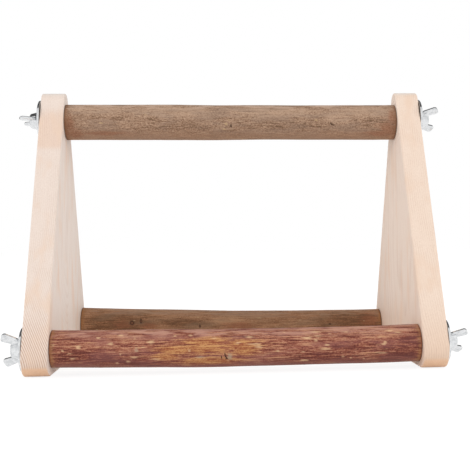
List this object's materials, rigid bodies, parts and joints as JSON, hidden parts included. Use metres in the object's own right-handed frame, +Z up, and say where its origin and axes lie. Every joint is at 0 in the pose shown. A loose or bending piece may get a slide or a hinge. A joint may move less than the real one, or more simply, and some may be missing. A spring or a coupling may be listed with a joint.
{
  "type": "parrot play stand",
  "caption": "Free-standing bird perch stand: rounded triangular wooden side panels joined by natural branch perches, clamped with hanger bolts, washers and wing nuts.",
  "frame": {"origin": "on the floor, under the middle of the stand", "axes": "+X along the perches to the right, +Y to the rear, +Z up"},
  "size_m": [0.2996, 0.1614, 0.191],
  "materials": {
    "pine": "sanded bare pine",
    "top_bark": "grey-brown bark, matt",
    "front_bark": "red-brown bark with pale flecks, matt",
    "rear_bark": "brown bark, matt",
    "zinc": "bright zinc plate"
  },
  "bodies": {
    "frame": {"left_side_panel": "pine", "right_side_panel": "pine"},
    "top_perch": {"top_perch": "top_bark", "top_left_hanger_bolt": "zinc", "top_right_hanger_bolt": "zinc"},
    "top_left_washer": {"top_left_washer": "zinc"},
    "top_left_wing_nut": {"top_left_wing_nut": "zinc"},
    "top_right_washer": {"top_right_washer": "zinc"},
    "top_right_wing_nut": {"top_right_wing_nut": "zinc"},
    "front_perch": {"front_perch": "front_bark", "front_left_hanger_bolt": "zinc", "front_right_hanger_bolt": "zinc"},
    "front_left_washer": {"front_left_washer": "zinc"},
    "front_left_wing_nut": {"front_left_wing_nut": "zinc"},
    "front_right_washer": {"front_right_washer": "zinc"},
    "front_right_wing_nut": {"front_right_wing_nut": "zinc"},
    "rear_perch": {"rear_perch": "rear_bark", "rear_left_hanger_bolt": "zinc", "rear_right_hanger_bolt": "zinc"},
    "rear_left_washer": {"rear_left_washer": "zinc"},
    "rear_left_wing_nut": {"rear_left_wing_nut": "zinc"},
    "rear_right_washer": {"rear_right_washer": "zinc"},
    "rear_right_wing_nut": {"rear_right_wing_nut": "zinc"}
  },
  "joints": [
    {"name": "top_perch_turn", "type": "hinge", "parent": "frame", "child": "top_perch", "pos_m": [0, 0, 0.1716], "axis": [1, 0, 0], "continuous": true},
    {"name": "top_left_washer_slide", "type": "slide", "parent": "top_perch", "child": "top_left_washer", "axis": [-1, 0, 0], "range_m": [0, 0.006]},
    {"name": "top_left_nut_spin", "type": "hinge", "parent": "top_left_washer", "child": "top_left_wing_nut", "pos_m": [-0.1372, 0, 0.1716], "axis": [-1, 0, 0], "range_deg": [0, 2160]},
    {"name": "top_right_washer_slide", "type": "slide", "parent": "top_perch", "child": "top_right_washer", "axis": [1, 0, 0], "range_m": [0, 0.006]},
    {"name": "top_right_nut_spin", "type": "hinge", "parent": "top_right_washer", "child": "top_right_wing_nut", "pos_m": [0.1372, 0, 0.1716], "axis": [1, 0, 0], "range_deg": [0, 2160]},
    {"name": "front_perch_turn", "type": "hinge", "parent": "frame", "child": "front_perch", "pos_m": [0, -0.0644, 0.0165], "axis": [1, 0, 0], "continuous": true},
    {"name": "front_left_washer_slide", "type": "slide", "parent": "front_perch", "child": "front_left_washer", "axis": [-1, 0, 0], "range_m": [0, 0.006]},
    {"name": "front_left_nut_spin", "type": "hinge", "parent": "front_left_washer", "child": "front_left_wing_nut", "pos_m": [-0.1372, -0.0644, 0.0165], "axis": [-1, 0, 0], "range_deg": [0, 2160]},
    {"name": "front_right_washer_slide", "type": "slide", "parent": "front_perch", "child": "front_right_washer", "axis": [1, 0, 0], "range_m": [0, 0.006]},
    {"name": "front_right_nut_spin", "type": "hinge", "parent": "front_right_washer", "child": "front_right_wing_nut", "pos_m": [0.1372, -0.0644, 0.0165], "axis": [1, 0, 0], "range_deg": [0, 2160]},
    {"name": "rear_perch_turn", "type": "hinge", "parent": "frame", "child": "rear_perch", "pos_m": [0, 0.0644, 0.0165], "axis": [1, 0, 0], "continuous": true},
    {"name": "rear_left_washer_slide", "type": "slide", "parent": "rear_perch", "child": "rear_left_washer", "axis": [-1, 0, 0], "range_m": [0, 0.006]},
    {"name": "rear_left_nut_spin", "type": "hinge", "parent": "rear_left_washer", "child": "rear_left_wing_nut", "pos_m": [-0.1372, 0.0644, 0.0165], "axis": [-1, 0, 0], "range_deg": [0, 2160]},
    {"name": "rear_right_washer_slide", "type": "slide", "parent": "rear_perch", "child": "rear_right_washer", "axis": [1, 0, 0], "range_m": [0, 0.006]},
    {"name": "rear_right_nut_spin", "type": "hinge", "parent": "rear_right_washer", "child": "rear_right_wing_nut", "pos_m": [0.1372, 0.0644, 0.0165], "axis": [1, 0, 0], "range_deg": [0, 2160]}
  ],
  "couplings": [
    {"joint": "top_left_washer_slide", "follows": "top_left_nut_spin", "m_per_rad": 0.00015915},
    {"joint": "top_right_washer_slide", "follows": "top_right_nut_spin", "m_per_rad": 0.00015915},
    {"joint": "front_left_washer_slide", "follows": "front_left_nut_spin", "m_per_rad": 0.00015915},
    {"joint": "front_right_washer_slide", "follows": "front_right_nut_spin", "m_per_rad": 0.00015915},
    {"joint": "rear_left_washer_slide", "follows": "rear_left_nut_spin", "m_per_rad": 0.00015915},
    {"joint": "rear_right_washer_slide", "follows": "rear_right_nut_spin", "m_per_rad": 0.00015915}
  ]
}
